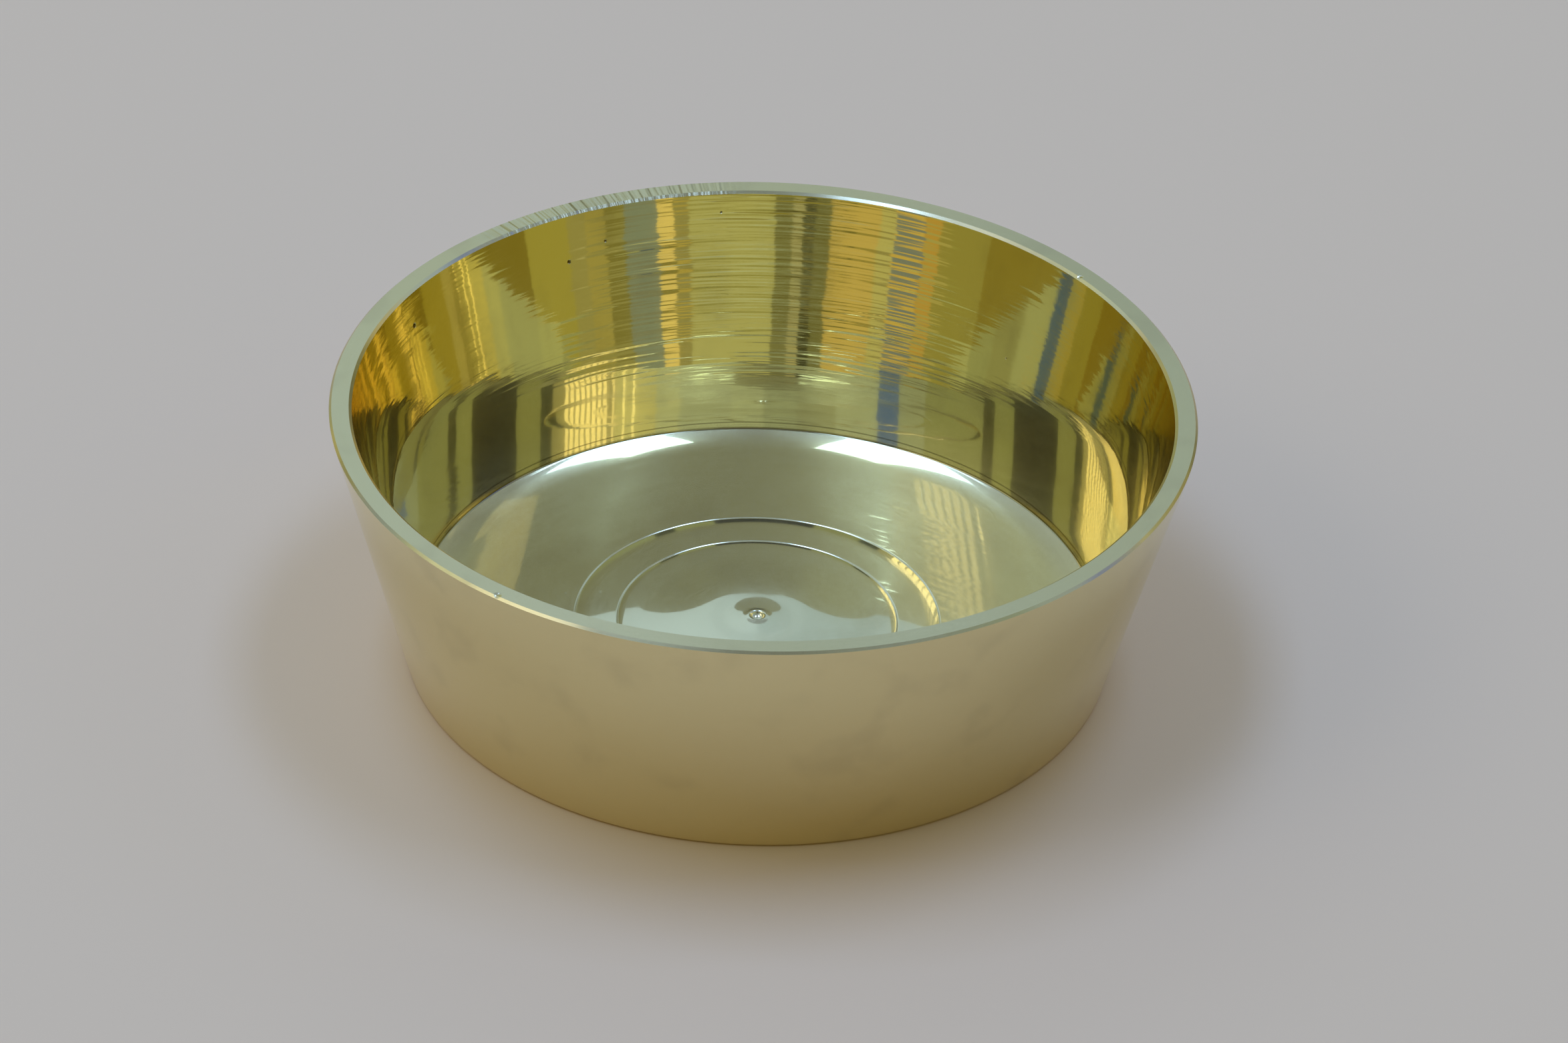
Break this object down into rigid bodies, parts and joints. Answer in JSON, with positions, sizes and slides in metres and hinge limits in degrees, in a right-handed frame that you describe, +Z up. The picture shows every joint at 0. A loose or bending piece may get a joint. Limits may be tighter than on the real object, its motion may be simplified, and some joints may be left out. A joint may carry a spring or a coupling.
{
  "type": "shaving bowl",
  "caption": "Shallow round brass bowl with a flared wall, a flat turned rim and scribed rings on its floor, used for whipping shaving lather.",
  "frame": {"origin": "centre of the foot, on the surface that the bowl stands on", "axes": "+Z up along the turning axis, through the centre mark; the bowl is round, so X and Y are free"},
  "size_m": [0.11, 0.11, 0.036],
  "materials": {
    "brass": "turned and polished, bare metal"
  },
  "bodies": {
    "root": {"bowl": "brass"}
  },
  "joints": []
}
